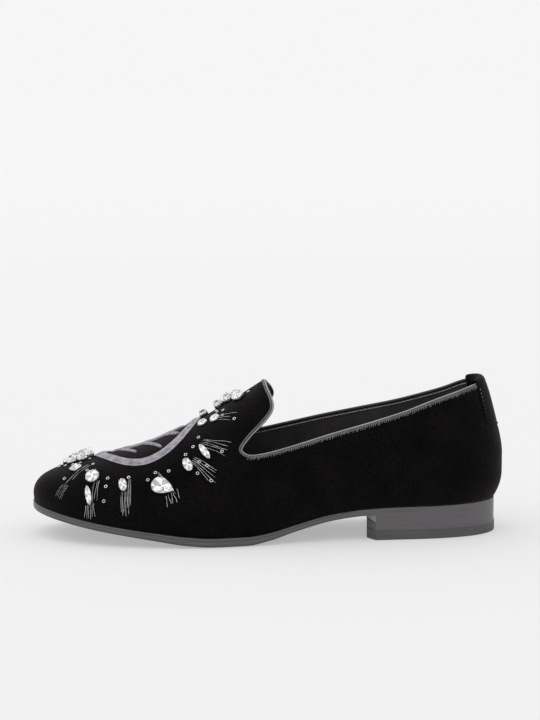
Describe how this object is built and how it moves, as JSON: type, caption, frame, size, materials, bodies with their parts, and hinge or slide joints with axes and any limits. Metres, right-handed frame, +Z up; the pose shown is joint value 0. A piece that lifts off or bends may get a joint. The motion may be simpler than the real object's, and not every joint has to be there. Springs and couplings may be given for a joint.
{
  "type": "slip-on shoe",
  "caption": "Left velvet slip-on dress shoe with a low stacked heel, thin sole with toe spring, corded collar, embroidered leaf and cut glass stones on the vamp.",
  "frame": {"origin": "bottom centre of the box, on the floor under the middle of the shoe", "axes": "+X towards the heel, toe at -X; +Y towards the inner side of the foot; +Z up"},
  "size_m": [0.2536, 0.0814, 0.0845],
  "materials": {
    "velvet": "short-pile black velvet",
    "sole_leather": "dark grey edge-dyed leather, satin",
    "heel_stack": "dark grey stacked leather, satin",
    "top_lift_rubber": "dark matt rubber",
    "sock_lining": "black kid lining",
    "piping_cord": "grey ribbed cord",
    "satin_thread": "grey-lilac satin stitch",
    "cut_glass": "foiled clear cut glass"
  },
  "bodies": {
    "root": {"upper": "velvet", "heel_tab": "velvet", "outsole": "sole_leather", "heel": "heel_stack", "top_lift": "top_lift_rubber", "insole": "sock_lining", "collar_piping": "piping_cord", "embroidery_leaf": "satin_thread", "embroidery_rib": "satin_thread", "stone_toe_cushion_outer": "cut_glass", "stone_toe_cushion_inner": "cut_glass", "stone_toe_round_outer": "cut_glass", "stone_toe_round_inner": "cut_glass", "stone_toe_navette_outer": "cut_glass", "stone_toe_navette_inner": "cut_glass", "stone_ball_oval_outer": "cut_glass", "stone_ball_oval_inner": "cut_glass", "stone_ball_pear_outer": "cut_glass", "stone_ball_pear_inner": "cut_glass", "stone_waist_oval_outer": "cut_glass", "stone_waist_oval_inner": "cut_glass", "stone_waist_navette_outer": "cut_glass", "stone_waist_navette_inner": "cut_glass", "stone_instep_oval_a_outer": "cut_glass", "stone_instep_oval_a_inner": "cut_glass", "stone_instep_oval_b_outer": "cut_glass", "stone_instep_oval_b_inner": "cut_glass", "stone_instep_crown_outer": "cut_glass", "stone_instep_crown_inner": "cut_glass", "stone_toe_oval": "cut_glass", "stone_instep_cushion": "cut_glass"}
  },
  "joints": []
}
